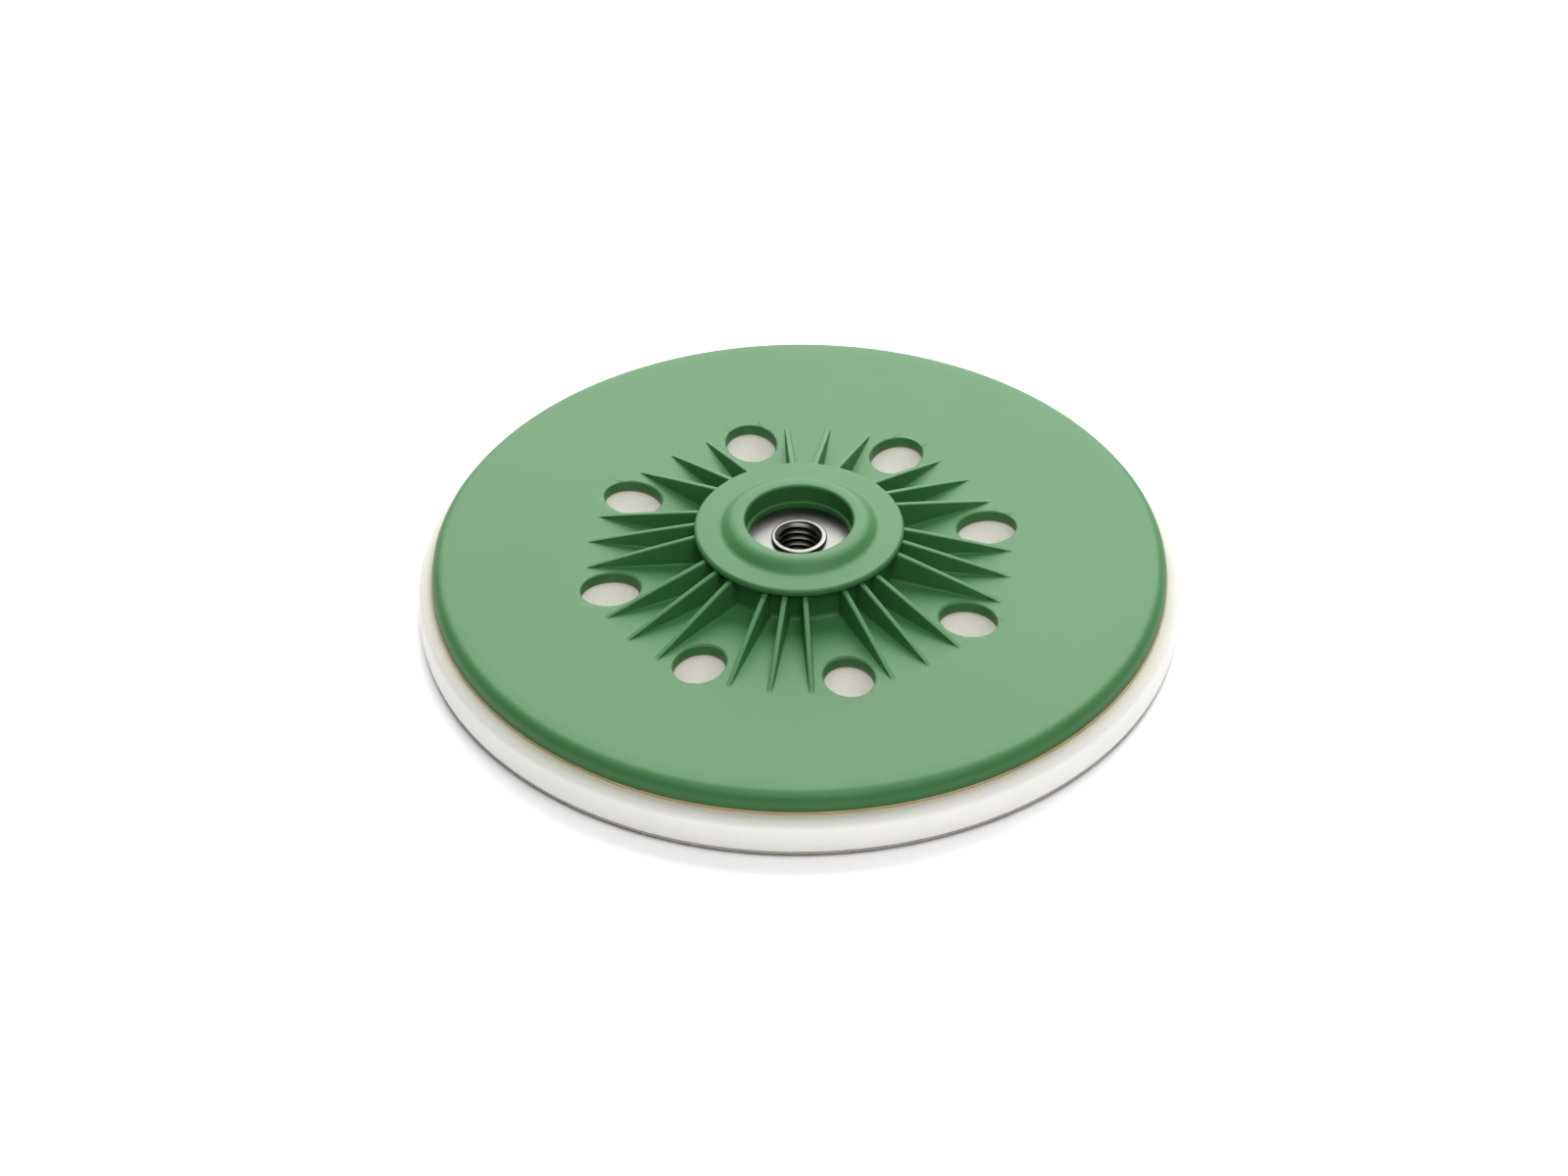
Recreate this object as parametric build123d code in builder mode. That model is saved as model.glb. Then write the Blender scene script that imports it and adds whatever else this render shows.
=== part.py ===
"""Backing pad of a 125 mm orbital sander.

A ribbed plastic carrier with a steel M8 insert stands on a foam cushion and a sheet of hooks.
The origin is at the centre of the working face, which is the tips of the hooks.
+Z is the spindle axis and points to the sander. Lengths are in millimetres, angles in degrees.
The first dust hole lies on +X.
"""

import math
import os

from build123d import *

# Layers under the carrier, from the working face up
hook_sheet_radius = 62.0
hook_sheet_top = 0.95
film_thickness = 0.15
foam_bottom = hook_sheet_top + film_thickness
foam_radius = 62.5
foam_edge_round = 0.4

# Carrier: a crowned disc with a skirt around its edge and a land under its hub
carrier_radius = 60.2
carrier_bottom = 7.65
skirt_inner_radius = 57.2
land_radius = 17.5
dish_top = 9.8  # underside of the disc between the land and the skirt
crown_top = 11.95  # where the crown would meet the axis
crown_radius = 1900.0
rim_round = 2.0
skirt_round = 0.4

# Hub: a core, a flange that overhangs it, and a low cone around the spindle recess
core_radius = 16.0
core_fillet = 1.0
flange_radius = 17.15
flange_bottom = 17.3
flange_top = 18.4
flange_round = 0.6
flange_under_round = 0.2
collar_base_radius = 12.9
collar_top_radius = 11.0
collar_top = 19.85
collar_fillet = 0.5
collar_round = 0.9
recess_radius = 8.8
recess_round = 0.5
ledge_radius = 8.3  # a narrow ledge around the drive plate
ledge_top = 16.7

# Ribs: three between each two dust holes, nearly straight from the flange down to the crown
dust_hole_count = 8
ribs_per_gap = 3
hole_angle = 360 / dust_hole_count
rib_angle = hole_angle / (ribs_per_gap + 1)
rib_tip_radius = 35.0
rib_arch_radius = 25.5
rib_arch_height = 14.6  # of the rib's top at that radius
rib_arch_start = 16.3
rib_tip_sink = 0.1  # the tips run out just under the crown
rib_foot = 1.0  # how deep a rib is rooted in the disc and the core
rib_hub_width = 1.5
rib_tip_width = 1.0
rib_draft = 1.5
rib_round = 0.3

# Dust holes, longer along the radius, a little inside the 65 mm circle of 125 mm abrasive discs
dust_circle_radius = 31.8
dust_hole_width = 8.2
dust_hole_length = 9.8
dust_hole_round = 0.4
foam_hole_margin = 0.3  # how far the foam, films and hook sheet stand back from the carrier's holes

# Drive plate: a steel disc under the collar, bare inside the recess
plate_radius = 11.6
plate_bottom = 13.7
plate_top = 15.7
lock_hole_count = 6
lock_hole_radius = 1.1
lock_circle_radius = 10.1

# Threaded insert: an M8 nut whose hexagon keys into the moulding and whose collar stands in the plate
insert_bottom = 8.6
insert_top = 16.4
insert_across_flats = 13.0
insert_collar_radius = 4.55
insert_collar_chamfer = 0.3
thread_minor_radius = 6.647 / 2
thread_mouth_chamfer = 0.45

foam_top = carrier_bottom - film_thickness
foam_step_top = dish_top - film_thickness


def crown_height(radius):
    """Height of the carrier's crowned face at a radius."""
    return crown_top - crown_radius + math.sqrt(crown_radius**2 - radius**2)


def edges_near(piece, radius, height):
    """The piece's circular edges at a radius and a height."""
    return [
        edge
        for edge in piece.edges().filter_by(GeomType.CIRCLE)
        if abs(edge.radius - radius) < 0.01 and abs(edge.center().Z - height) < 0.01
    ]


# Dust hole cutters: one for the carrier and its film, a wider one for the layers below
with BuildPart() as carrier_holes:
    with BuildSketch():
        with PolarLocations(dust_circle_radius, dust_hole_count):
            Ellipse(dust_hole_length / 2, dust_hole_width / 2)
    extrude(amount=collar_top)
with BuildPart() as cushion_holes:
    with BuildSketch():
        with PolarLocations(dust_circle_radius, dust_hole_count):
            Ellipse(dust_hole_length / 2 + foam_hole_margin, dust_hole_width / 2 + foam_hole_margin)
    extrude(amount=collar_top)

# Drive plate: the moulding runs through its holes and locks it against turning
with BuildPart() as drive_plate:
    with BuildSketch(Plane.XY.offset(plate_bottom)):
        Circle(plate_radius)
        Circle(insert_collar_radius, mode=Mode.SUBTRACT)
        with PolarLocations(lock_circle_radius, lock_hole_count):
            Circle(lock_hole_radius, mode=Mode.SUBTRACT)
    extrude(amount=plate_top - plate_bottom)
drive_plate.part.label = "drive_plate"

# Threaded insert: its thread is a plain bore at the minor diameter
with BuildPart() as threaded_insert:
    with BuildSketch(Plane.XY.offset(insert_bottom)):
        RegularPolygon(insert_across_flats / 2, 6, major_radius=False)
    extrude(amount=plate_bottom - insert_bottom)
    with BuildSketch(Plane.XY.offset(plate_bottom)):
        Circle(insert_collar_radius)
    extrude(amount=insert_top - plate_bottom)
    chamfer(edges_near(threaded_insert, insert_collar_radius, insert_top), insert_collar_chamfer)
    with BuildSketch(Plane.XY.offset(insert_bottom)):
        Circle(thread_minor_radius)
    extrude(amount=insert_top - insert_bottom, mode=Mode.SUBTRACT)
    chamfer(edges_near(threaded_insert, thread_minor_radius, insert_top), thread_mouth_chamfer)
threaded_insert.part.label = "threaded_insert"

# One rib: a bar with draft that narrows outwards, cut to an arch and rounded along its top
with BuildPart() as rib:
    with BuildSketch(Plane.XY.offset(dish_top + rib_foot)):
        Polygon(
            (core_radius - rib_foot, rib_hub_width / 2),
            (core_radius - rib_foot, -rib_hub_width / 2),
            (rib_tip_radius, -rib_tip_width / 2),
            (rib_tip_radius, rib_tip_width / 2),
            align=None,
        )
    extrude(amount=flange_top - dish_top, taper=rib_draft)
    with BuildSketch(Plane.XZ):
        with BuildLine():
            Polyline(
                (rib_arch_start, flange_bottom),
                (rib_arch_start, dish_top),
                (rib_tip_radius, dish_top),
                (rib_tip_radius, crown_height(rib_tip_radius) - rib_tip_sink),
            )
            ThreePointArc(
                (rib_tip_radius, crown_height(rib_tip_radius) - rib_tip_sink),
                (rib_arch_radius, rib_arch_height),
                (rib_arch_start, flange_bottom),
            )
        make_face()
    extrude(amount=rib_hub_width, both=True, mode=Mode.INTERSECT)
    rib_top = rib.faces().filter_by(GeomType.CYLINDER)[0]
    fillet(rib_top.edges().sort_by(SortBy.LENGTH)[-2:], rib_round)

# Carrier plate: one moulding, with the insert and the drive plate inside its hub
with BuildPart() as carrier_plate:
    with BuildSketch(Plane.XZ):
        with BuildLine():
            Polyline(
                (core_radius, crown_height(core_radius)),
                (core_radius, flange_bottom),
                (flange_radius, flange_bottom),
                (flange_radius, flange_top),
                (collar_base_radius, flange_top),
                (collar_top_radius, collar_top),
                (recess_radius, collar_top),
                (recess_radius, ledge_top),
                (ledge_radius, ledge_top),
                (ledge_radius, plate_top),
                (0, plate_top),
                (0, carrier_bottom),
                (land_radius, carrier_bottom),
                (land_radius, dish_top),
                (skirt_inner_radius, dish_top),
                (skirt_inner_radius, carrier_bottom),
                (carrier_radius, carrier_bottom),
                (carrier_radius, crown_height(carrier_radius)),
            )
            RadiusArc(
                (carrier_radius, crown_height(carrier_radius)),
                (core_radius, crown_height(core_radius)),
                -crown_radius,
            )
        make_face()
    revolve(axis=Axis.Z)
    fillet(edges_near(carrier_plate, carrier_radius, crown_height(carrier_radius)), rim_round)
    fillet(edges_near(carrier_plate, carrier_radius, carrier_bottom), skirt_round)
    fillet(edges_near(carrier_plate, core_radius, crown_height(core_radius)), core_fillet)
    fillet(edges_near(carrier_plate, flange_radius, flange_top), flange_round)
    fillet(edges_near(carrier_plate, flange_radius, flange_bottom), flange_under_round)
    fillet(edges_near(carrier_plate, collar_base_radius, flange_top), collar_fillet)
    fillet(edges_near(carrier_plate, collar_top_radius, collar_top), collar_round)
    fillet(edges_near(carrier_plate, recess_radius, collar_top), recess_round)
    add(carrier_holes.part, mode=Mode.SUBTRACT)
    hole_rims = [
        edge
        for edge in carrier_plate.edges()
        if edge.is_closed and edge.center().Z > dish_top + dust_hole_round and edge.length < 4 * dust_hole_length
        and math.hypot(edge.center().X, edge.center().Y) > land_radius
    ]
    fillet(hole_rims, dust_hole_round)
    for gap in range(dust_hole_count):
        for place in range(ribs_per_gap):
            add(rib.part, rotation=(0, 0, gap * hole_angle + (place + 1) * rib_angle))
    add(drive_plate.part, mode=Mode.SUBTRACT)
    add(threaded_insert.part, mode=Mode.SUBTRACT)
    with BuildSketch(Plane.XY.offset(insert_bottom)):
        Circle(thread_minor_radius + thread_mouth_chamfer)
    extrude(amount=insert_top - insert_bottom, mode=Mode.SUBTRACT)
carrier_plate.part.label = "carrier_plate"

# Carrier bond film: lines the whole underside of the carrier
with BuildPart() as carrier_bond_film:
    with BuildSketch(Plane.XZ):
        with BuildLine():
            Polyline(
                (0, foam_top),
                (0, carrier_bottom),
                (land_radius, carrier_bottom),
                (land_radius, dish_top),
                (skirt_inner_radius, dish_top),
                (skirt_inner_radius, carrier_bottom),
                (carrier_radius, carrier_bottom),
                (carrier_radius, foam_top),
                (skirt_inner_radius - film_thickness, foam_top),
                (skirt_inner_radius - film_thickness, foam_step_top),
                (land_radius + film_thickness, foam_step_top),
                (land_radius + film_thickness, foam_top),
                close=True,
            )
        make_face()
    revolve(axis=Axis.Z)
    add(carrier_holes.part, mode=Mode.SUBTRACT)
carrier_bond_film.part.label = "carrier_bond_film"

# Foam cushion: a disc with a ring on top that fills the carrier's dish
with BuildPart() as foam_cushion:
    with BuildSketch(Plane.XY.offset(foam_bottom)):
        Circle(foam_radius)
    extrude(amount=foam_top - foam_bottom)
    fillet(foam_cushion.edges().filter_by(GeomType.CIRCLE), foam_edge_round)
    with BuildSketch(Plane.XY.offset(foam_top)):
        Circle(skirt_inner_radius - film_thickness)
        Circle(land_radius + film_thickness, mode=Mode.SUBTRACT)
    extrude(amount=foam_step_top - foam_top)
    add(cushion_holes.part, mode=Mode.SUBTRACT)
foam_cushion.part.label = "foam_cushion"

# Hook bond film: a flat disc
with BuildPart() as hook_bond_film:
    with BuildSketch(Plane.XY.offset(hook_sheet_top)):
        Circle(hook_sheet_radius)
    extrude(amount=film_thickness)
    add(cushion_holes.part, mode=Mode.SUBTRACT)
hook_bond_film.part.label = "hook_bond_film"

# Hook sheet: its backing and its hooks as one solid
with BuildPart() as hook_sheet:
    with BuildSketch(Plane.XY):
        Circle(hook_sheet_radius)
    extrude(amount=hook_sheet_top)
    add(cushion_holes.part, mode=Mode.SUBTRACT)
hook_sheet.part.label = "hook_sheet"

os.makedirs("parts", exist_ok=True)
pieces = (
    carrier_plate,
    drive_plate,
    threaded_insert,
    carrier_bond_film,
    foam_cushion,
    hook_bond_film,
    hook_sheet,
)
for piece in pieces:
    export_step(piece.part, f"parts/{piece.part.label}.step")
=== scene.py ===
import math

import bmesh
import bpy
from mathutils import Matrix, Quaternion, Vector, noise


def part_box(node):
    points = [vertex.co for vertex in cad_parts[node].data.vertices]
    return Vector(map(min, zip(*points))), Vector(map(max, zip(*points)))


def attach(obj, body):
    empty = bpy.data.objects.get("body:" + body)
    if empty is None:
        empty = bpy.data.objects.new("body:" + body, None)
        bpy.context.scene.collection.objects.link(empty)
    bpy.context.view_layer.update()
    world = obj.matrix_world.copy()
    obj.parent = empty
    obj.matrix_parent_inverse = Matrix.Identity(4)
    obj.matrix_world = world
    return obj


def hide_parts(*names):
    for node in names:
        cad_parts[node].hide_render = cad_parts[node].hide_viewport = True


# Backing pad of a 125 mm orbital sander, seen from the sander's side.
# Sizes are in millimetres until a piece is finished, and the frame is in metres.
MM = 0.001

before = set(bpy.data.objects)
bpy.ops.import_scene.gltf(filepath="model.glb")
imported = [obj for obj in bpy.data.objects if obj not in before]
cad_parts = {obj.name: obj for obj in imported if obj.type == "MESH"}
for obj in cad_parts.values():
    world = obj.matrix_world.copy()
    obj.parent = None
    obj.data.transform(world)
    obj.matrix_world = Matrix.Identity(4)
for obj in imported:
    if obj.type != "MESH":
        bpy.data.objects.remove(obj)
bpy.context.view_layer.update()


def levels(node):
    """The heights of a node's underside and top, in millimetres."""
    low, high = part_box(node)
    return low[2] / MM, high[2] / MM


def radius_of(node):
    """A round node's radius in millimetres."""
    low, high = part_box(node)
    return (high[0] - low[0]) / MM / 2


# Heights and radii that the frame gives
CARRIER_BOTTOM, COLLAR_TOP = levels("carrier_plate")
FILM_BOTTOM, DISH_TOP = levels("carrier_bond_film")
PLATE_BOTTOM, PLATE_TOP = levels("drive_plate")
INSERT_BOTTOM, INSERT_TOP = levels("threaded_insert")
FOAM_BOTTOM, FOAM_STEP_TOP = levels("foam_cushion")
HOOK_SHEET_TOP = levels("hook_sheet")[1]
CARRIER_RADIUS = 60.2
PLATE_RADIUS = radius_of("drive_plate")
FOAM_RADIUS = radius_of("foam_cushion")
HOOK_RADIUS = radius_of("hook_sheet")

# Carrier: crown, rim and underside
CROWN_TOP = 11.95
CROWN_RADIUS = 1900.0
SKIRT_INNER = 57.2
LAND_RADIUS = 17.5
RIM_ROUND = 2.0
SMALL_ROUND = 0.4
INNER_ROUND = 0.2
CROWN_STEPS = 14
# Hub
CORE_RADIUS = 16.0
CORE_FILLET = 0.8
FLANGE_RADIUS = 17.15
FLANGE_BOTTOM = 17.3
FLANGE_TOP = 18.4
FLANGE_UNDER_ROUND = 0.2
FLANGE_ROUND = 0.6
COLLAR_BASE = 12.9
COLLAR_RIM = 11.0
COLLAR_FILLET = 0.5
COLLAR_ROUND = 0.9
RECESS_RADIUS = 8.8
RECESS_ROUND = 0.5
LEDGE_RADIUS = 8.3
LEDGE_TOP = 16.7
LEDGE_ROUND = 0.12
LOCK_COUNT = 6
LOCK_CIRCLE = 10.1
LOCK_RADIUS = 1.1
# Ribs
HOLE_COUNT = 8
RIBS_PER_GAP = 3
RIB_START = 15.4
RIB_TIP = 35.0
RIB_ARCH_RADIUS = 25.5
RIB_ARCH_HEIGHT = 14.6
RIB_STATIONS = 26
RIB_NARROWING = 0.72  # width at the tip, as a share of the width at the hub
RIB_SEAM = 0.015  # how deep the foot's edge lies under the crown, so that the two join cleanly
RIB_SUNK = 0.5
RIB_HALF_ROOT = 0.66
RIB_HALF_TOP = 0.5
RIB_FOOT_FILLET = 0.45
RIB_TOP_ROUND = 0.3
# Dust holes
HOLE_CIRCLE = 31.8
HOLE_WIDTH = 8.2
HOLE_LENGTH = 9.8
CUSHION_MARGIN = 0.3
# Thread: M8 x 1.25
THREAD_MINOR = 3.3235
THREAD_MAJOR = 4.0
THREAD_PITCH = 1.25
HEX_FLATS = 13.0
HEX_TURN = math.pi / 2  # a new circle starts on +Y, and the hexagon's corners lie on X
INSERT_COLLAR = 4.55
INSERT_COLLAR_ROUND = 0.25
THREAD_CHAMFER = 0.45
THREAD_STEPS = 64  # in one turn
THREAD_SUNK = 0.12  # how deep the thread's ridge stands in its core

# Foam: how far its side bulges, and the painted shade on its upper edge
FOAM_BULGE = 0.3
FOAM_BULGE_ROUND = 1.8
FOAM_FOOT_ROUND = 0.5
FOAM_EDGE_ROUND = 1.5
FOAM_PIN_MARK = 0.35  # a locating pin of the mould leaves a fine hole in the middle
FOAM_EDGE_SHADE_DEPTH = 1.6
FOAM_EDGE_SHADE_START = 50
FOAM_EDGE_SHADE_FULL = 55
# Adhesive squeezed out at the carrier's rim
BEAD_OVERHANG = 0.15
BEAD_RISE = 0.25
BEAD_WAVES = 0.1
BEAD_WAVES_PER_MM = 0.35
# Hook tape: where its hooks start, and one hook's outline in the XZ plane
HOOK_ROOTS = 0.72
HOOK_PITCH = 1.6
HOOK_THICKNESS = 0.3
HOOK_RIM_GAP = 0.5  # bare tape along the rim and around each dust hole
HOOK_OUTLINE = (
    (-0.22, 0.77),
    (-0.12, 0.38),
    (-0.08, 0.1),
    (0.12, 0.005),
    (0.34, 0.1),
    (0.38, 0.3),
    (0.28, 0.33),
    (0.2, 0.2),
    (0.1, 0.26),
    (0.14, 0.77),
)

TURN_STEPS = 256
SMALL_TURN_STEPS = 96

# View, in degrees and metres. The aim lies right of the pad's foot and above it, in millimetres
VIEW_AZIMUTH = -14.3
VIEW_ELEVATION = 38.63
VIEW_DISTANCE = 1.5
VIEW_ROLL = -0.33
LENS = 209.4
AIM_RIGHT = -2.53
AIM_UP = 4.24

# Softboxes: name, azimuth from the camera, elevation, distance, size in metres and power in watts
SOFTBOXES = (
    ("key_softbox", 152, 52, 1.5, 0.9, 9),
    ("back_softbox", 180, 36, 1.7, 1.8, 52),
    ("fill_softbox", 15, 66, 1.6, 1.2, 19),
)
WORLD_STRENGTH = 0.12
FLOOR_HALF_SIZE = 4000


# ---------------------------------------------------------------- mesh tools


def crown_height(radius):
    """Height of the carrier's crowned face at a radius."""
    return CROWN_TOP - CROWN_RADIUS + math.sqrt(CROWN_RADIUS**2 - radius**2)


def outline(corners):
    """A face in the XZ plane. Each corner is (radius, height) or (radius, height, rounding)."""
    bm = bmesh.new()
    verts = [bm.verts.new((corner[0], 0, corner[1])) for corner in corners]
    bm.faces.new(verts)
    for vert, corner in zip(verts, corners):
        if len(corner) > 2:
            bmesh.ops.bevel(
                bm,
                geom=[vert],
                offset=corner[2],
                offset_type="OFFSET",
                segments=6,
                profile=0.5,
                affect="VERTICES",
                material=-1,
            )
    return bm


def turned(corners, steps=TURN_STEPS):
    """The solid that the outline sweeps in a full turn about Z."""
    bm = outline(corners)
    bmesh.ops.delete(bm, geom=bm.faces[:], context="FACES_ONLY")
    on_axis = [edge for edge in bm.edges if all(vert.co.x < 0.001 for vert in edge.verts)]
    bmesh.ops.delete(bm, geom=on_axis, context="EDGES")
    bmesh.ops.spin(
        bm,
        geom=bm.verts[:] + bm.edges[:],
        cent=(0, 0, 0),
        axis=(0, 0, 1),
        dvec=(0, 0, 0),
        angle=math.tau,
        steps=steps,
        use_merge=True,
        use_duplicate=False,
    )
    bmesh.ops.remove_doubles(bm, verts=bm.verts[:], dist=0.001)
    bmesh.ops.recalc_face_normals(bm, faces=bm.faces[:])
    return bm


def as_object(bm, name):
    """Turns a bmesh into an object in metres, at the origin."""
    bmesh.ops.scale(bm, vec=(MM, MM, MM), verts=bm.verts[:])
    mesh = bpy.data.meshes.new(name)
    bm.to_mesh(mesh)
    bm.free()
    piece = bpy.data.objects.new(name, mesh)
    bpy.context.scene.collection.objects.link(piece)
    return piece


def combine(piece, tools, operation):
    """Cuts the tools out of a piece, or joins them to it, and drops the tools."""
    for tool in tools:
        step = piece.modifiers.new(operation.lower(), "BOOLEAN")
        step.operation = operation
        step.solver = "EXACT"
        step.object = tool
        apply_modifiers(piece)
    for tool in tools:
        bpy.data.objects.remove(tool)


def turned_out(angle, radius):
    """The matrix of a place on a circle around Z, facing outwards."""
    return Matrix.Rotation(angle, 4, "Z") @ Matrix.Translation((radius, 0, 0))


def apply_modifiers(piece):
    """Replaces a piece's mesh by what its modifiers make of it."""
    graph = bpy.context.evaluated_depsgraph_get()
    mesh = bpy.data.meshes.new_from_object(piece.evaluated_get(graph))
    mesh.name = piece.name
    piece.modifiers.clear()
    piece.data = mesh


def smooth(piece, angle=35):
    """Shades a piece smooth, except across edges sharper than an angle in degrees."""
    piece.data.shade_smooth()
    piece.data.set_sharp_from_angle(angle=math.radians(angle))


def finish_piece(piece, material, slot, *nodes):
    """Gives a new piece its material, and lets it stand for its CAD nodes."""
    piece.data.materials.clear()
    piece.data.materials.append(material)
    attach(piece, "root")
    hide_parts(*nodes)


# ---------------------------------------------------------------- material tools


def linear(code):
    """An sRGB hex colour as linear RGBA."""
    channels = [int(code[place : place + 2], 16) / 255 for place in (1, 3, 5)]
    return (*[c / 12.92 if c <= 0.04045 else ((c + 0.055) / 1.055) ** 2.4 for c in channels], 1)


def add(material, kind, inputs=None, **settings):
    """Adds a node. An input is a number, a colour or another node's output."""
    tree = material.node_tree
    node = tree.nodes.new("ShaderNode" + kind)
    for name, value in settings.items():
        setattr(node, name, value)
    for name, value in (inputs or {}).items():
        if isinstance(value, bpy.types.NodeSocket):
            tree.links.new(value, node.inputs[name])
        else:
            node.inputs[name].default_value = value
    return node


def new_material(name, roughness, **sockets):
    """A material with its Principled shader's plain values set."""
    material = bpy.data.materials.new(name)
    material.use_nodes = True
    shader = material.node_tree.nodes["Principled BSDF"]
    shader.inputs["Roughness"].default_value = roughness
    for socket, value in sockets.items():
        shader.inputs[socket.replace("_", " ")].default_value = value
    return material, shader


def per_mm(size):
    """The scale of a pattern whose features are that many millimetres apart."""
    return 1 / (size * MM)


def link(material, output, socket):
    """Joins a node's output to a shader socket."""
    material.node_tree.links.new(output, socket)


def object_place(material):
    """Where a point lies on the object, as a node's output."""
    return add(material, "TexCoord").outputs["Object"]


def distance_from_axis(material, place):
    """How far a point lies from the Z axis, as a node's output."""
    apart = add(material, "SeparateXYZ", {"Vector": place})
    flat = add(material, "CombineXYZ", {"X": apart.outputs["X"], "Y": apart.outputs["Y"]})
    length = add(material, "VectorMath", {0: flat.outputs["Vector"]}, operation="LENGTH")
    return length.outputs["Value"]


def clouds(material, place, size, **inputs):
    """Soft noise with features of a size in millimetres, as a node's output."""
    settings = {name.capitalize(): value for name, value in inputs.items()}
    pattern = add(material, "TexNoise", {"Vector": place, "Scale": per_mm(size), **settings})
    return pattern.outputs["Fac"]


def blend(material, factor, first, second):
    """Two colours mixed by a factor, as a node's output."""
    inputs = {"Factor": factor, "A": first, "B": second}
    return add(material, "Mix", inputs, data_type="RGBA").outputs["Result"]


def ramp(material, value, start, end, low, high):
    """A value's range from start to end, drawn onto low to high, as a node's output."""
    inputs = {"Value": value, "From Min": start, "From Max": end, "To Min": low, "To Max": high}
    return add(material, "MapRange", inputs).outputs["Result"]


def bump(material, shader, height, strength, distance):
    """Gives a shader a relief that is a distance deep, in millimetres."""
    inputs = {"Height": height, "Strength": strength, "Distance": distance * MM}
    relief = add(material, "Bump", inputs)
    link(material, relief.outputs["Normal"], shader.inputs["Normal"])


# ---------------------------------------------------------------- materials


def moulded_nylon():
    """Glass-filled nylon, moulded against a spark-eroded tool: an even grain and a dull sheen."""
    material, shader = new_material(
        "moulded_glass_filled_nylon", 0.5, IOR=1.5, Specular_IOR_Level=0.32
    )
    place = object_place(material)
    drift = clouds(material, place, 14, detail=3.0, roughness=0.55)
    tone = blend(material, drift, linear("#336738"), linear("#396e3e"))
    link(material, tone, shader.inputs["Base Color"])
    # The real grain is about 0.1 mm; it is drawn 0.5 mm coarse so that it shows
    bump(material, shader, clouds(material, place, 0.5, detail=2.0), 0.25, 0.03)
    return material


def turned_steel():
    """Zinc-plated free-cutting steel, turned on a lathe: fine rings and a soft grey shine."""
    material, shader = new_material("turned_zinc_plated_steel", 0.3, Metallic=1.0)
    place = object_place(material)
    radius = distance_from_axis(material, place)
    rings = add(
        material,
        "TexNoise",
        {"W": radius, "Scale": per_mm(0.22), "Detail": 1.0},
        noise_dimensions="1D",
    )
    stain = clouds(material, place, 3, detail=2.0)
    plating = blend(material, stain, linear("#62625f"), linear("#6f6e6a"))
    # Painted shade: the thread is drawn darker inside the bore, where little light reaches
    inside = ramp(material, radius, 3.55 * MM, 3.8 * MM, 1.0, 0.0)
    thread_painted_shade = blend(material, inside, plating, linear("#50564a"))
    link(material, thread_painted_shade, shader.inputs["Base Color"])
    bump(material, shader, rings.outputs["Fac"], 0.3, 0.02)
    return material


def cured_adhesive():
    """Cured polyurethane adhesive: tan, smooth and slightly uneven."""
    material, shader = new_material("cured_polyurethane_adhesive", 0.4, IOR=1.5)
    drift = clouds(material, object_place(material), 4, detail=2.0)
    tone = blend(material, drift, linear("#a58c5c"), linear("#c4ad7c"))
    link(material, tone, shader.inputs["Base Color"])
    return material


def polyurethane_foam():
    """Moulded polyurethane foam, off-white: a matt moulded face with fine open cells."""
    material, shader = new_material("moulded_polyurethane_foam", 0.85, IOR=1.4)
    place = object_place(material)
    drift = clouds(material, place, 9, detail=3.0)
    tone = blend(material, drift, linear("#f3f1ed"), linear("#f9f7f3"))
    # Painted shade: the upper edge, outside the carrier's rim, is drawn greyer to tone down the
    # light that falls on it
    radius = distance_from_axis(material, place)
    outside = ramp(material, radius, FOAM_EDGE_SHADE_START * MM, FOAM_EDGE_SHADE_FULL * MM, 0.0, 1.0)
    height = add(material, "SeparateXYZ", {"Vector": place}).outputs["Z"]
    edge = ramp(material, height, (FILM_BOTTOM - FOAM_EDGE_SHADE_DEPTH) * MM, FILM_BOTTOM * MM, 0.0, outside)
    edge_painted_shade = blend(material, edge, tone, linear("#bfbdb1"))
    pattern = add(
        material, "TexVoronoi", {"Vector": place, "Scale": per_mm(0.7)}, feature="F1"
    )
    cells = pattern.outputs["Distance"]
    pores = ramp(material, cells, 0.0, 0.35, 0.95, 1.0)
    shade = add(material, "VectorMath", {0: edge_painted_shade, "Scale": pores}, operation="SCALE")
    link(material, shade.outputs["Vector"], shader.inputs["Base Color"])
    bump(material, shader, cells, 0.35, 0.12)
    return material


def hook_tape(name, darker, lighter):
    """Moulded polyamide of the hook tape: grey, with a slight gloss."""
    material, shader = new_material(name, 0.45, IOR=1.53)
    drift = clouds(material, object_place(material), 2.5, detail=2.0)
    tone = blend(material, drift, linear(darker), linear(lighter))
    link(material, tone, shader.inputs["Base Color"])
    return material


# ---------------------------------------------------------------- dust holes


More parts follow.
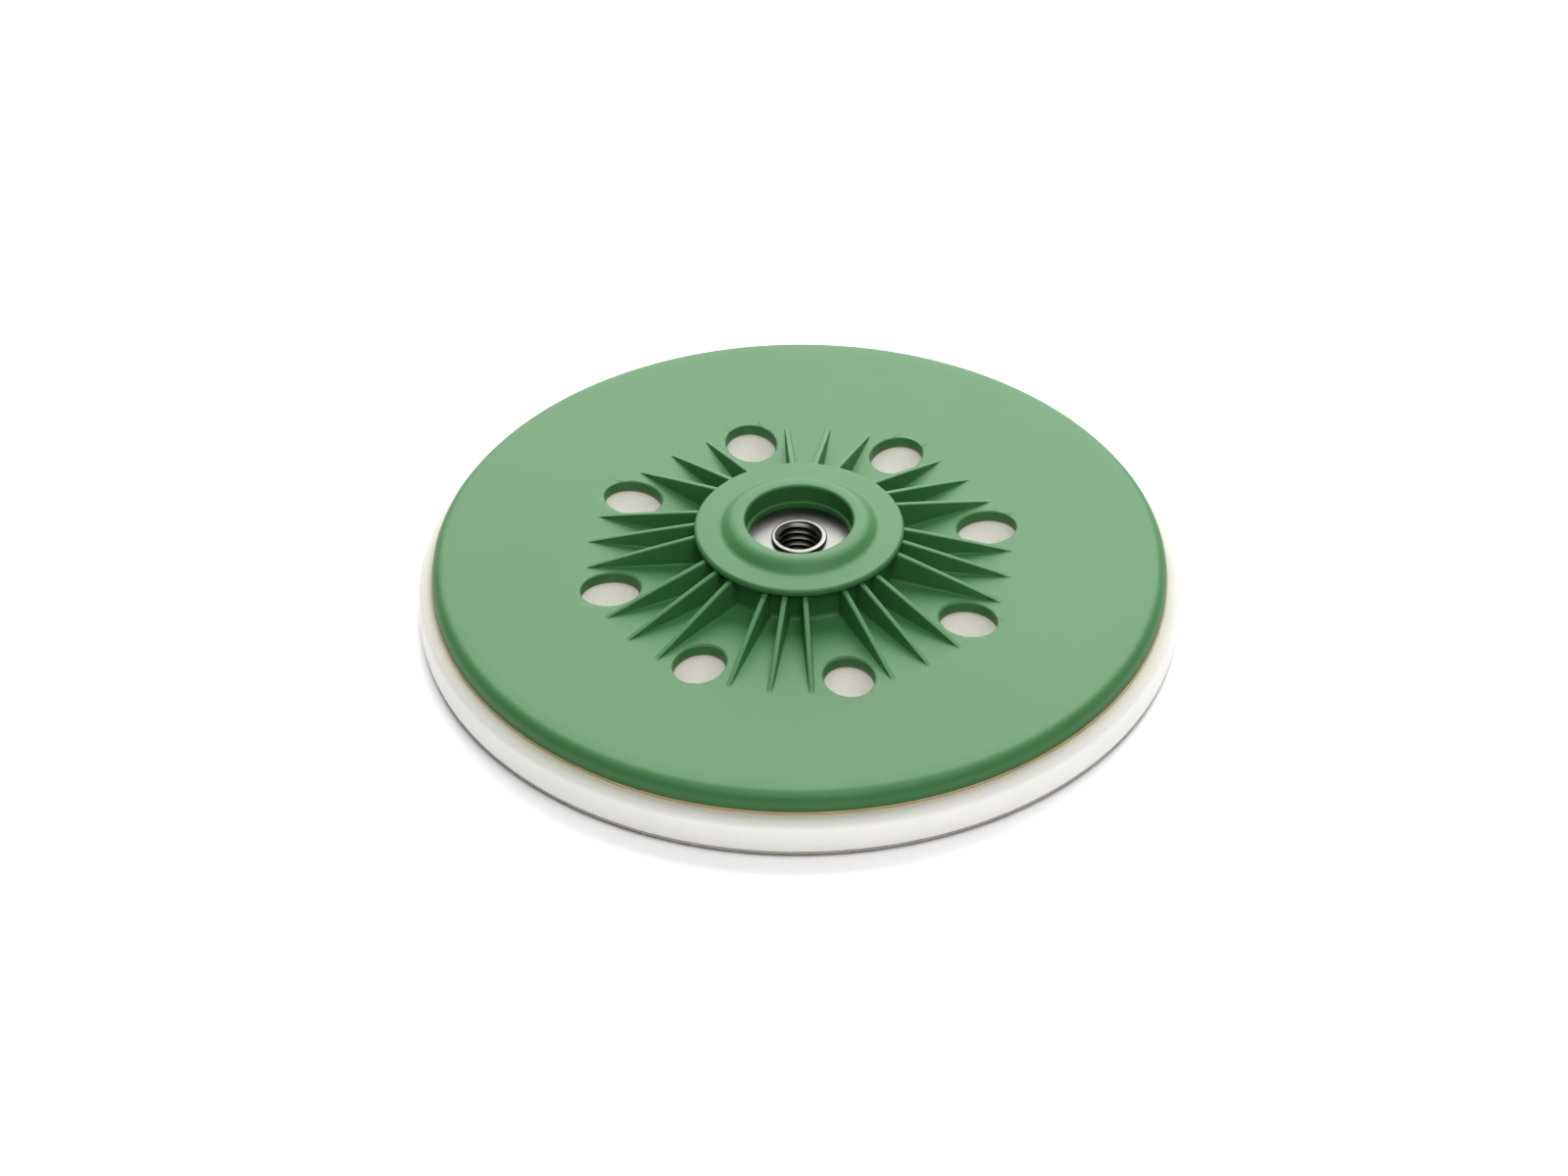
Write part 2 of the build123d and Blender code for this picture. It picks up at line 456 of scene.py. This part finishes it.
def oval_tool(name, margin, low, high, flare=None):
    """Eight oval posts in one object.

    A flare is the (height, rounding) where they widen out of a face.
    """
    bm = bmesh.new()
    for place in range(HOLE_COUNT):
        post = bmesh.new()
        ring = bmesh.ops.create_circle(post, cap_ends=True, segments=72, radius=1.0)["verts"]
        half_length = HOLE_LENGTH / 2 + margin
        half_width = HOLE_WIDTH / 2 + margin
        bmesh.ops.scale(post, vec=(half_length, half_width, 1), verts=ring)
        bmesh.ops.translate(post, vec=(0, 0, low), verts=ring)
        top = flare[0] if flare else high
        grow_post(post, top - low)
        if flare:
            rounding = flare[1]
            steps = 5
            for step in range(steps):
                start = math.pi / 2 * step / steps
                end = math.pi / 2 * (step + 1) / steps
                rise = rounding * (math.sin(end) - math.sin(start))
                spread = rounding * (math.cos(start) - math.cos(end))
                grow_post(post, rise, spread)
            grow_post(post, high - top - rounding)
        spot = turned_out(math.tau * place / HOLE_COUNT, HOLE_CIRCLE)
        bmesh.ops.transform(post, matrix=spot, verts=post.verts[:])
        bmesh.ops.recalc_face_normals(post, faces=post.faces[:])
        joined = bpy.data.meshes.new("post")
        post.to_mesh(joined)
        post.free()
        bm.from_mesh(joined)
        bpy.data.meshes.remove(joined)
    return as_object(bm, name)


def grow_post(post, rise, spread=0.0):
    """Extrudes a post's highest face upwards and outwards."""
    top = max(post.faces, key=lambda face: face.calc_center_median().z)
    made = bmesh.ops.extrude_face_region(post, geom=[top, *top.edges, *top.verts])
    for vert in [part for part in made["geom"] if isinstance(part, bmesh.types.BMVert)]:
        outward = Vector((vert.co.x, vert.co.y, 0)).normalized()
        vert.co += outward * spread + Vector((0, 0, rise))


# ---------------------------------------------------------------- carrier plate


def rib_height(radius):
    """Height of a rib's top above the crown: an arc through its root, its arch and its tip."""
    root = Vector((CORE_RADIUS, FLANGE_BOTTOM + 0.1))
    arch = Vector((RIB_ARCH_RADIUS, RIB_ARCH_HEIGHT))
    tip = Vector((RIB_TIP, crown_height(RIB_TIP)))
    # The arc's centre is as far from the root as from the arch and from the tip
    corners = ((root, arch, tip), (arch, tip, root), (tip, root, arch))
    scale = 2 * sum(one.x * (two.y - three.y) for one, two, three in corners)
    x = sum(one.length_squared * (two.y - three.y) for one, two, three in corners) / scale
    y = sum(one.length_squared * (three.x - two.x) for one, two, three in corners) / scale
    arc_radius = (root - Vector((x, y))).length
    along = max(radius, CORE_RADIUS) - x
    return y + math.sqrt(arc_radius**2 - along**2) - crown_height(radius)


def rib_section():
    """A rib's cross section at its root: flared foot, slight draft, rounded top. Height is 1."""
    full = rib_height(CORE_RADIUS)
    foot, cap, steps = RIB_FOOT_FILLET, RIB_TOP_ROUND, 4
    turns = [math.pi / 2 * step / steps for step in range(steps + 1)]
    half = [
        (RIB_HALF_ROOT + foot * (1 - math.sin(turn)), foot * (1 - math.cos(turn)))
        for turn in turns
    ]
    half += [
        (RIB_HALF_TOP - cap * (1 - math.cos(turn)), full - cap * (1 - math.sin(turn)))
        for turn in turns
    ]
    right = [(0, y, z / full) for y, z in half]
    left = [(0, -y, z / full) for y, z in reversed(half)]
    below = -0.12
    bm = bmesh.new()
    verts = [bm.verts.new((0, half[0][0], below))]
    verts += [bm.verts.new(point) for point in right + left]
    verts.append(bm.verts.new((0, -half[0][0], below)))
    bm.faces.new(verts)
    return bm


def make_rib():
    """One rib along +X: a straight bar, drawn down to the arch and narrowed along the radius."""
    bm = rib_section()
    bmesh.ops.translate(bm, verts=bm.verts[:], vec=(RIB_START, 0, 0))
    step = (RIB_TIP - RIB_START) / RIB_STATIONS
    for _ in range(RIB_STATIONS):
        front = max(bm.faces, key=lambda face: face.calc_center_median().x)
        made = bmesh.ops.extrude_face_region(bm, geom=[front, *front.edges, *front.verts])
        moved = [part for part in made["geom"] if isinstance(part, bmesh.types.BMVert)]
        bmesh.ops.translate(bm, verts=moved, vec=(step, 0, 0))
    for vert in bm.verts:
        radius = vert.co.x
        share = (radius - RIB_START) / (RIB_TIP - RIB_START)
        lift = vert.co.z * max(rib_height(radius), 0.0) if vert.co.z >= 0 else -RIB_SUNK
        vert.co.y *= 1 + (RIB_NARROWING - 1) * share
        vert.co.z = crown_height(radius) - RIB_SEAM + lift
    bmesh.ops.recalc_face_normals(bm, faces=bm.faces[:])
    return bm


def carrier_outline():
    """The carrier's outline in the XZ plane, from the foot of its rim up over the hub and under."""
    reach = CARRIER_RADIUS - RIM_ROUND - CORE_RADIUS
    radii = [CORE_RADIUS + 1 + reach * step / CROWN_STEPS for step in range(1, CROWN_STEPS)]
    crown = [(radius, crown_height(radius)) for radius in reversed(radii)]
    return [
        (CARRIER_RADIUS, CARRIER_BOTTOM, SMALL_ROUND),
        (CARRIER_RADIUS, crown_height(CARRIER_RADIUS), RIM_ROUND),
        *crown,
        (CORE_RADIUS, crown_height(CORE_RADIUS), CORE_FILLET),
        (CORE_RADIUS, FLANGE_BOTTOM),
        (FLANGE_RADIUS, FLANGE_BOTTOM, FLANGE_UNDER_ROUND),
        (FLANGE_RADIUS, FLANGE_TOP, FLANGE_ROUND),
        (COLLAR_BASE, FLANGE_TOP, COLLAR_FILLET),
        (COLLAR_RIM, COLLAR_TOP, COLLAR_ROUND),
        (RECESS_RADIUS, COLLAR_TOP, RECESS_ROUND),
        (RECESS_RADIUS, LEDGE_TOP),
        (LEDGE_RADIUS, LEDGE_TOP, LEDGE_ROUND),
        (LEDGE_RADIUS, PLATE_TOP),
        (PLATE_RADIUS, PLATE_TOP),
        (PLATE_RADIUS, PLATE_BOTTOM),
        (0, PLATE_BOTTOM),
        (0, CARRIER_BOTTOM),
        (LAND_RADIUS, CARRIER_BOTTOM, INNER_ROUND),
        (LAND_RADIUS, DISH_TOP, INNER_ROUND),
        (SKIRT_INNER, DISH_TOP, INNER_ROUND),
        (SKIRT_INNER, CARRIER_BOTTOM, INNER_ROUND),
    ]


def peg_tool():
    """The six pegs of plastic that fill the drive plate's lock holes."""
    pegs = bmesh.new()
    for place in range(LOCK_COUNT):
        spot = turned_out(math.tau * place / LOCK_COUNT, LOCK_CIRCLE)
        middle = Matrix.Translation((0, 0, (PLATE_BOTTOM + PLATE_TOP) / 2))
        bmesh.ops.create_cone(
            pegs,
            cap_ends=True,
            segments=24,
            radius1=LOCK_RADIUS,
            radius2=LOCK_RADIUS,
            depth=PLATE_TOP - PLATE_BOTTOM + 0.4,
            matrix=spot @ middle,
        )
    return as_object(pegs, "peg_tool")


def rib_tool():
    """All ribs, three in each gap between two dust holes."""
    rib = make_rib()
    template = bpy.data.meshes.new("rib")
    rib.to_mesh(template)
    rib.free()
    all_ribs = bmesh.new()
    for gap in range(HOLE_COUNT):
        for place in range(RIBS_PER_GAP):
            angle = math.tau / HOLE_COUNT * (gap + (place + 1) / (RIBS_PER_GAP + 1))
            template.transform(Matrix.Rotation(angle, 4, "Z"))
            all_ribs.from_mesh(template)
            template.transform(Matrix.Rotation(-angle, 4, "Z"))
    bpy.data.meshes.remove(template)
    return as_object(all_ribs, "rib_tool")


def make_carrier(nylon):
    """The green plate: a turned body, ribs joined to it and dust holes cut through it."""
    piece = as_object(turned(carrier_outline()), "carrier_plate_moulding")
    holes = oval_tool(
        "carrier_hole_tool",
        0,
        CARRIER_BOTTOM - 1,
        COLLAR_TOP,
        flare=(crown_height(HOLE_CIRCLE) - SMALL_ROUND, SMALL_ROUND),
    )
    insert_seat = as_object(hexagon(PLATE_BOTTOM + 0.5), "insert_seat_tool")
    combine(piece, [holes, insert_seat], "DIFFERENCE")
    combine(piece, [peg_tool()], "UNION")
    combine(piece, [rib_tool()], "UNION")
    smooth(piece)
    finish_piece(piece, nylon, "green_nylon", "carrier_plate")


# ---------------------------------------------------------------- threaded insert


def hexagon(top):
    """The insert's hexagon, from its underside up to a height."""
    bm = bmesh.new()
    corner = HEX_FLATS / math.sqrt(3)
    ring = bmesh.ops.create_circle(bm, cap_ends=True, segments=6, radius=corner)["verts"]
    bmesh.ops.rotate(bm, verts=ring, cent=(0, 0, 0), matrix=Matrix.Rotation(HEX_TURN, 3, "Z"))
    bmesh.ops.translate(bm, verts=ring, vec=(0, 0, INSERT_BOTTOM))
    grow_post(bm, top - INSERT_BOTTOM)
    bmesh.ops.recalc_face_normals(bm, faces=bm.faces[:])
    return bm


def thread_tool():
    """A threaded rod to cut the M8 thread: a core, and one ridge swept along a helix."""
    rod = turned(
        [
            (0, INSERT_BOTTOM - 1),
            (THREAD_MINOR, INSERT_BOTTOM - 1),
            (THREAD_MINOR, INSERT_TOP - THREAD_CHAMFER),
            (THREAD_MINOR + 2 * THREAD_CHAMFER, INSERT_TOP + THREAD_CHAMFER),
            (0, INSERT_TOP + THREAD_CHAMFER),
        ],
        steps=SMALL_TURN_STEPS,
    )
    rod = as_object(rod, "thread_core_tool")
    ridge = bmesh.new()
    half_root = 0.5 * THREAD_PITCH * 0.9
    half_crest = THREAD_PITCH / 16
    sunk = THREAD_MINOR - THREAD_SUNK
    start = INSERT_BOTTOM - 1.5
    corners = [
        (sunk, -half_root),
        (THREAD_MAJOR, -half_crest),
        (THREAD_MAJOR, half_crest),
        (sunk, half_root),
    ]
    face = ridge.faces.new([ridge.verts.new((x, 0, start + z)) for x, z in corners])
    turns = math.ceil((INSERT_TOP - start + 0.6) / THREAD_PITCH)
    bmesh.ops.spin(
        ridge,
        geom=[face],
        cent=(0, 0, 0),
        axis=(0, 0, 1),
        dvec=(0, 0, THREAD_PITCH / THREAD_STEPS),
        angle=math.tau * turns,
        steps=THREAD_STEPS * turns,
        use_merge=False,
        use_duplicate=False,
    )
    bmesh.ops.recalc_face_normals(ridge, faces=ridge.faces[:])
    return [rod, as_object(ridge, "thread_ridge_tool")]


def make_insert(steel):
    """The M8 insert: a hexagon in the moulding, a turned collar above and a real thread inside."""
    piece = as_object(hexagon(PLATE_BOTTOM), "threaded_insert_turned")
    collar = turned(
        [
            (0, PLATE_BOTTOM - 1),
            (INSERT_COLLAR, PLATE_BOTTOM - 1),
            (INSERT_COLLAR, INSERT_TOP, INSERT_COLLAR_ROUND),
            (0, INSERT_TOP),
        ],
        steps=SMALL_TURN_STEPS,
    )
    combine(piece, [as_object(collar, "collar_tool")], "UNION")
    combine(piece, thread_tool(), "DIFFERENCE")
    smooth(piece)
    finish_piece(piece, steel, "zinc_plated_steel", "threaded_insert")


# ---------------------------------------------------------------- foam, films and hooks


def make_foam(foam):
    """The cushion: its side is slightly full, and its holes follow the carrier's."""
    middle = (FOAM_BOTTOM + FILM_BOTTOM) / 2
    thickness = CARRIER_BOTTOM - FILM_BOTTOM
    inner, land = SKIRT_INNER - thickness, LAND_RADIUS + thickness
    edge_loop = HOOK_RADIUS * 0.6  # just outside the dust holes
    body = turned(
        [
            (FOAM_PIN_MARK, FOAM_BOTTOM),
            (edge_loop, FOAM_BOTTOM),
            (FOAM_RADIUS - FOAM_BULGE, FOAM_BOTTOM, FOAM_FOOT_ROUND),
            (FOAM_RADIUS, middle, FOAM_BULGE_ROUND),
            (FOAM_RADIUS - FOAM_BULGE, FILM_BOTTOM, FOAM_EDGE_ROUND),
            (inner, FILM_BOTTOM),
            (inner, FOAM_STEP_TOP),
            (land, FOAM_STEP_TOP),
            (land, FILM_BOTTOM),
            (FOAM_PIN_MARK, FILM_BOTTOM),
        ]
    )
    piece = as_object(body, "foam_cushion_moulding")
    holes = oval_tool("foam_hole_tool", CUSHION_MARGIN, FOAM_BOTTOM - 1, FOAM_STEP_TOP + 1)
    combine(piece, [holes], "DIFFERENCE")
    smooth(piece)
    finish_piece(piece, foam, "white_foam", "foam_cushion")


def make_bead(adhesive):
    """The film between carrier and foam, and the bead that it squeezes out around the rim."""
    thickness = CARRIER_BOTTOM - FILM_BOTTOM
    inner, land = SKIRT_INNER - thickness, LAND_RADIUS + thickness
    film = turned(
        [
            (0, FILM_BOTTOM),
            (land, FILM_BOTTOM),
            (land, FOAM_STEP_TOP),
            (inner, FOAM_STEP_TOP),
            (inner, FILM_BOTTOM),
            (CARRIER_RADIUS + BEAD_OVERHANG, FILM_BOTTOM),
            (CARRIER_RADIUS + BEAD_OVERHANG, CARRIER_BOTTOM + BEAD_RISE, 0.12),
            (CARRIER_RADIUS - SMALL_ROUND, CARRIER_BOTTOM + BEAD_RISE, 0.05),
            (CARRIER_RADIUS - SMALL_ROUND, CARRIER_BOTTOM),
            (SKIRT_INNER, CARRIER_BOTTOM),
            (SKIRT_INNER, DISH_TOP),
            (LAND_RADIUS, DISH_TOP),
            (LAND_RADIUS, CARRIER_BOTTOM),
            (0, CARRIER_BOTTOM),
        ]
    )
    # The bead is uneven: it comes and goes by a tenth of a millimetre around the rim
    for vert in film.verts:
        flat = Vector((vert.co.x, vert.co.y, 0))
        if flat.length > CARRIER_RADIUS:
            vert.co += flat.normalized() * BEAD_WAVES * noise.noise(flat * BEAD_WAVES_PER_MM)
    piece = as_object(film, "carrier_bond_bead")
    holes = oval_tool("bead_hole_tool", 0, FOAM_BOTTOM - 1, DISH_TOP + 1)
    combine(piece, [holes], "DIFFERENCE")
    smooth(piece)
    finish_piece(piece, adhesive, "bond_adhesive", "carrier_bond_film")


def make_tape_backing(backing):
    """The backing of the hook tape, under the foam."""
    sheet = turned(
        [
            (0, HOOK_ROOTS),
            (HOOK_RADIUS, HOOK_ROOTS, 0.05),
            (HOOK_RADIUS, HOOK_SHEET_TOP, 0.05),
            (0, HOOK_SHEET_TOP),
        ]
    )
    piece = as_object(sheet, "hook_tape_backing")
    holes = oval_tool("tape_hole_tool", CUSHION_MARGIN, -1, HOOK_SHEET_TOP + 1)
    combine(piece, [holes], "DIFFERENCE")
    smooth(piece)
    finish_piece(piece, backing, "grey_hook_tape", "hook_sheet")


def one_hook():
    """One crook of the hook tape, as a mesh in millimetres."""
    hook = bmesh.new()
    face = hook.faces.new([hook.verts.new((x, -HOOK_THICKNESS / 2, z)) for x, z in HOOK_OUTLINE])
    made = bmesh.ops.extrude_face_region(hook, geom=[face, *face.edges, *face.verts])
    moved = [part for part in made["geom"] if isinstance(part, bmesh.types.BMVert)]
    bmesh.ops.translate(hook, verts=moved, vec=(0, HOOK_THICKNESS, 0))
    bmesh.ops.recalc_face_normals(hook, faces=hook.faces[:])
    template = bpy.data.meshes.new("hook")
    hook.to_mesh(template)
    hook.free()
    return template


def make_hooks(hooks):
    """The hooks of the tape, as one piece of many small crooks."""
    template = one_hook()
    crooks = bmesh.new()
    rows = math.ceil(HOOK_RADIUS / HOOK_PITCH)
    for row in range(-rows, rows + 1):
        # Neighbouring rows crook to opposite sides and stand half a pitch apart
        turn = Matrix.Rotation(math.pi * (row % 2), 4, "Z")
        for column in range(-rows, rows + 1):
            spot = Vector(((column + 0.5 * (row % 2)) * HOOK_PITCH, row * HOOK_PITCH, 0))
            past_rim = spot.length > HOOK_RADIUS - HOOK_RIM_GAP
            if past_rim or in_dust_hole(spot, CUSHION_MARGIN + HOOK_RIM_GAP):
                continue
            place = Matrix.Translation(spot) @ turn
            template.transform(place)
            crooks.from_mesh(template)
            template.transform(place.inverted())
    bpy.data.meshes.remove(template)
    finish_piece(as_object(crooks, "hook_tape_hooks"), hooks, "grey_hook_tape", "hook_sheet")


def in_dust_hole(spot, margin):
    """Whether a spot lies in a dust hole that is wider by a margin."""
    step = math.tau / HOLE_COUNT
    angle = math.atan2(spot.y, spot.x)
    angle -= round(angle / step) * step
    along = spot.length * math.cos(angle) - HOLE_CIRCLE
    across = spot.length * math.sin(angle)
    half_length, half_width = HOLE_LENGTH / 2 + margin, HOLE_WIDTH / 2 + margin
    return (along / half_length) ** 2 + (across / half_width) ** 2 < 1


# ---------------------------------------------------------------- stage


def make_stage(azimuth):
    """A plain white floor and soft light: a large softbox behind the pad and two weaker ones."""
    bm = bmesh.new()
    bmesh.ops.create_grid(bm, x_segments=1, y_segments=1, size=FLOOR_HALF_SIZE)
    floor = as_object(bm, "studio_floor")
    paper, shader = new_material("matt_white_paper", 0.9)
    shader.inputs["Base Color"].default_value = linear("#f6f6f6")
    floor.data.materials.append(paper)

    world = bpy.data.worlds.new("studio")
    world.use_nodes = True
    background = world.node_tree.nodes["Background"]
    background.inputs["Color"].default_value = (1, 1, 1, 1)
    background.inputs["Strength"].default_value = WORLD_STRENGTH
    bpy.context.scene.world = world

    for name, turn, *rest in SOFTBOXES:
        add_softbox(name, azimuth + turn, *rest)


def add_softbox(name, azimuth, elevation, distance, size, power):
    """A square area light that looks at the pad."""
    light = bpy.data.lights.new(name, "AREA")
    light.shape = "SQUARE"
    light.size = size
    light.energy = power
    lamp = bpy.data.objects.new(name, light)
    spot = direction(azimuth, elevation)
    lamp.location = spot * distance
    lamp.rotation_mode = "QUATERNION"
    lamp.rotation_quaternion = (-spot).to_track_quat("-Z", "Y")
    bpy.context.scene.collection.objects.link(lamp)


def direction(azimuth, elevation):
    """A unit vector from the pad. Azimuth 0 is the side towards -Y."""
    turn, rise = math.radians(azimuth), math.radians(elevation)
    flat = math.cos(rise)
    return Vector((math.sin(turn) * flat, -math.cos(turn) * flat, math.sin(rise)))


def make_camera(azimuth, elevation, distance, lens, right, up, roll):
    """A long lens from above, aimed right of the pad's foot and above it, in millimetres."""
    data = bpy.data.cameras.new("camera")
    data.lens = lens
    data.sensor_width = 36
    data.clip_end = 20
    camera = bpy.data.objects.new("camera", data)
    back = direction(azimuth, elevation)
    facing = (-back).to_track_quat("-Z", "Y")
    aim = facing @ Vector((right, up, 0)) * MM
    camera.location = aim + back * distance
    camera.rotation_mode = "QUATERNION"
    camera.rotation_quaternion = facing @ Quaternion((0, 0, 1), math.radians(roll))
    bpy.context.scene.collection.objects.link(camera)
    bpy.context.scene.camera = camera


make_camera(VIEW_AZIMUTH, VIEW_ELEVATION, VIEW_DISTANCE, LENS, AIM_RIGHT, AIM_UP, VIEW_ROLL)
make_stage(VIEW_AZIMUTH)
bpy.context.scene.view_settings.view_transform = "Standard"

nylon = moulded_nylon()
steel = turned_steel()
adhesive = cured_adhesive()
foam = polyurethane_foam()
backing = hook_tape("moulded_polyamide_tape_backing", "#b0b2b4", "#bcbdbf")
# Painted light: the hooks are the same polyamide as the backing, drawn lighter to offset the shade
# they stand in under the pad
hooks = hook_tape("moulded_polyamide_hooks", "#cfd0d0", "#d9dada")

make_carrier(nylon)
make_insert(steel)
make_foam(foam)
make_bead(adhesive)
make_tape_backing(backing)
make_hooks(hooks)
for node, material in (("drive_plate", steel), ("hook_bond_film", adhesive)):
    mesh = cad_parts[node].data
    mesh.materials.clear()
    mesh.materials.append(material)
